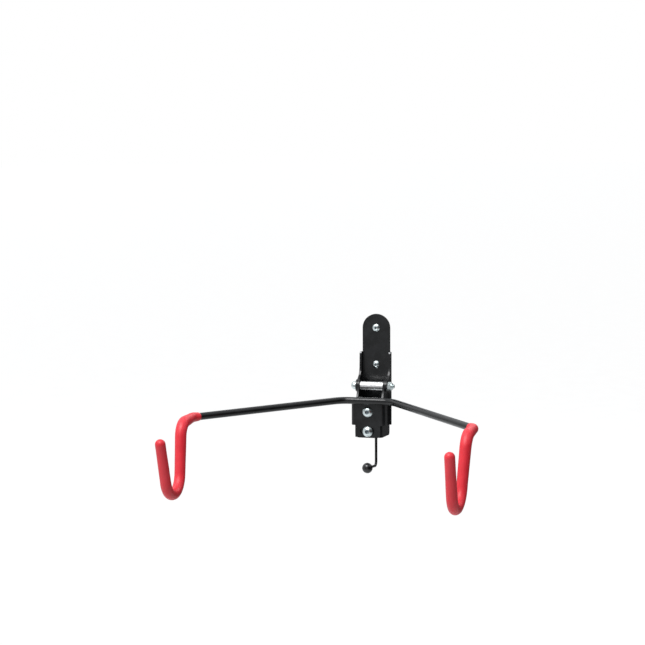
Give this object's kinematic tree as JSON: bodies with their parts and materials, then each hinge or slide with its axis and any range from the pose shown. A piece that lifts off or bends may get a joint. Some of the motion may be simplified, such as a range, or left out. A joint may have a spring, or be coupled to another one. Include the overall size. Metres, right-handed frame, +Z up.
{
  "type": "bicycle wall rack",
  "caption": "Wall rack for a bicycle: a folding steel bracket on a wall plate carries a bent rod with two vinyl-dipped hooks, with a small ball-ended helmet hook below.",
  "frame": {"origin": "on the back face of the wall plate (the wall's surface), midway between the two wall screws", "axes": "+Z up, +Y into the wall, so the arms stand out towards -Y; +X to the right as seen from in front"},
  "size_m": [0.3624, 0.3969, 0.2027],
  "materials": {
    "black_powder_coat": "satin",
    "black_powder_coat_rod": "semi-gloss",
    "black_plastic_ball": "gloss",
    "red_vinyl_dip": "satin",
    "zinc_plated_steel": "bright zinc plate",
    "bright_zinc_tube": "bright zinc plate",
    "nylon_insert": "matte"
  },
  "bodies": {
    "wall": {"wall_plate": "black_powder_coat", "wall_screw_upper": "zinc_plated_steel", "wall_screw_lower": "zinc_plated_steel", "pivot_bolt": "zinc_plated_steel", "pivot_spacer": "bright_zinc_tube", "pivot_nut": "zinc_plated_steel", "pivot_nut_insert": "nylon_insert", "helmet_hook_wire": "black_powder_coat_rod", "helmet_hook_ball": "black_plastic_ball"},
    "swing": {"swing_bracket": "black_powder_coat", "clamp_bolt_upper": "zinc_plated_steel", "clamp_washer_upper": "zinc_plated_steel", "clamp_nut_upper": "zinc_plated_steel", "clamp_nut_insert_upper": "nylon_insert", "clamp_bolt_lower": "zinc_plated_steel", "clamp_washer_lower": "zinc_plated_steel", "clamp_nut_lower": "zinc_plated_steel", "clamp_nut_insert_lower": "nylon_insert"},
    "arms": {"arm_holder": "black_powder_coat", "arm_rod": "black_powder_coat_rod", "hook_cover_left": "red_vinyl_dip", "hook_cover_right": "red_vinyl_dip"}
  },
  "joints": [
    {"name": "fold", "type": "hinge", "parent": "wall", "child": "swing", "pos_m": [0, -0.025, -0.0495], "axis": [-1, 0, 0], "range_deg": [0, 90]},
    {"name": "tilt", "type": "hinge", "parent": "swing", "child": "arms", "pos_m": [0, -0.048, -0.0804], "axis": [0, -1, 0], "range_deg": [-4, 4]}
  ]
}
